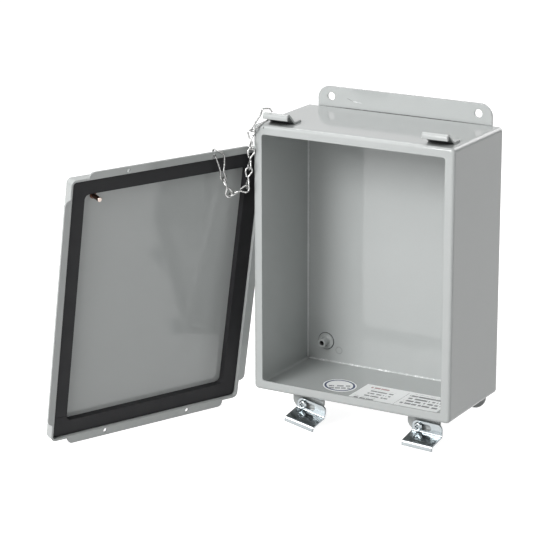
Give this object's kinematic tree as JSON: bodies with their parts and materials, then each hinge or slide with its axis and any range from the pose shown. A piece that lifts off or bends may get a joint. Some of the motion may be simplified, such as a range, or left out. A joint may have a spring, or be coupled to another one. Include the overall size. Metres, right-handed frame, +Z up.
{
  "type": "wall-mount steel enclosure",
  "caption": "Shallow painted steel wall box with an open lipped front, top hooks, bottom screw clamps and a gasketed lift-off cover hung beside it on a chain.",
  "frame": {"origin": "centre of the rectangle of four mounting holes, on the rear face of the mounting feet", "axes": "+X to the right as seen from the open front, +Y back towards the wall, +Z up; the open front faces -Y"},
  "size_m": [0.3385, 0.2766, 0.3077],
  "materials": {
    "grey_paint": "light grey paint, satin",
    "zinc_plate": "bright zinc plate",
    "bright_wire": "bright plated wire",
    "foam_rubber": "black closed-cell foam",
    "copper": "copper flash",
    "label_paper": "plain white label"
  },
  "bodies": {
    "enclosure": {"enclosure_body": "grey_paint", "mounting_foot_upper": "grey_paint", "mounting_foot_lower": "grey_paint", "panel_studs": "grey_paint", "cover_hook_left": "grey_paint", "cover_hook_right": "grey_paint", "clamp_bracket_left": "grey_paint", "clamp_bracket_right": "grey_paint", "oval_label": "label_paper", "data_label": "label_paper", "chain_clip_hook": "bright_wire"},
    "clamp_left": {"clamp_left": "zinc_plate"},
    "clamp_right": {"clamp_right": "zinc_plate"},
    "clamp_screw_left": {"clamp_screw_left": "zinc_plate"},
    "clamp_screw_right": {"clamp_screw_right": "zinc_plate"},
    "cover": {"cover_panel": "grey_paint", "cover_gasket": "foam_rubber", "cover_ground_stud": "copper", "chain_clip_cover": "bright_wire"},
    "chain_link_1": {"chain_link_1": "bright_wire"},
    "chain_link_2": {"chain_link_2": "bright_wire"},
    "chain_link_3": {"chain_link_3": "bright_wire"},
    "chain_link_4": {"chain_link_4": "bright_wire"},
    "chain_link_5": {"chain_link_5": "bright_wire"}
  },
  "joints": [
    {"name": "left_clamp_turn", "type": "hinge", "parent": "enclosure", "child": "clamp_left", "pos_m": [-0.0605, -0.08, -0.1423], "axis": [0, 1, 0], "range_deg": [0, 168.5]},
    {"name": "right_clamp_turn", "type": "hinge", "parent": "enclosure", "child": "clamp_right", "pos_m": [0.0605, -0.08, -0.1423], "axis": [0, 1, 0], "range_deg": [0, 177.5]},
    {"name": "left_screw_turn", "type": "hinge", "parent": "enclosure", "child": "clamp_screw_left", "pos_m": [-0.0605, -0.08, -0.1423], "axis": [0, 1, 0], "continuous": true},
    {"name": "right_screw_turn", "type": "hinge", "parent": "enclosure", "child": "clamp_screw_right", "pos_m": [0.0605, -0.08, -0.1423], "axis": [0, 1, 0], "continuous": true},
    {"name": "cover_swing", "type": "hinge", "parent": "enclosure", "child": "cover", "pos_m": [-0.11845, -0.12904, 0.0797], "axis": [0, 0, 1], "range_deg": [0, 15]},
    {"name": "link_1_twist", "type": "hinge", "parent": "enclosure", "child": "chain_link_1", "pos_m": [-0.10115, -0.10745, 0.1208], "axis": [-0.0022, -0.0027, -1], "range_deg": [-10, 10]},
    {"name": "link_2_twist", "type": "hinge", "parent": "enclosure", "child": "chain_link_2", "pos_m": [-0.10119, -0.1075, 0.103], "axis": [-0.0816, -0.1019, -0.9914], "range_deg": [-10, 10]},
    {"name": "link_3_twist", "type": "hinge", "parent": "enclosure", "child": "chain_link_3", "pos_m": [-0.10264, -0.10931, 0.08535], "axis": [-0.0664, -0.0829, -0.9943], "range_deg": [-10, 10]},
    {"name": "link_4_twist", "type": "hinge", "parent": "enclosure", "child": "chain_link_4", "pos_m": [-0.10382, -0.11079, 0.06765], "axis": [-0.6037, -0.7535, -0.2605], "range_deg": [-10, 10]},
    {"name": "link_5_twist", "type": "hinge", "parent": "enclosure", "child": "chain_link_5", "pos_m": [-0.11457, -0.1242, 0.06302], "axis": [-0.2179, -0.272, 0.9373], "range_deg": [-10, 10]}
  ]
}
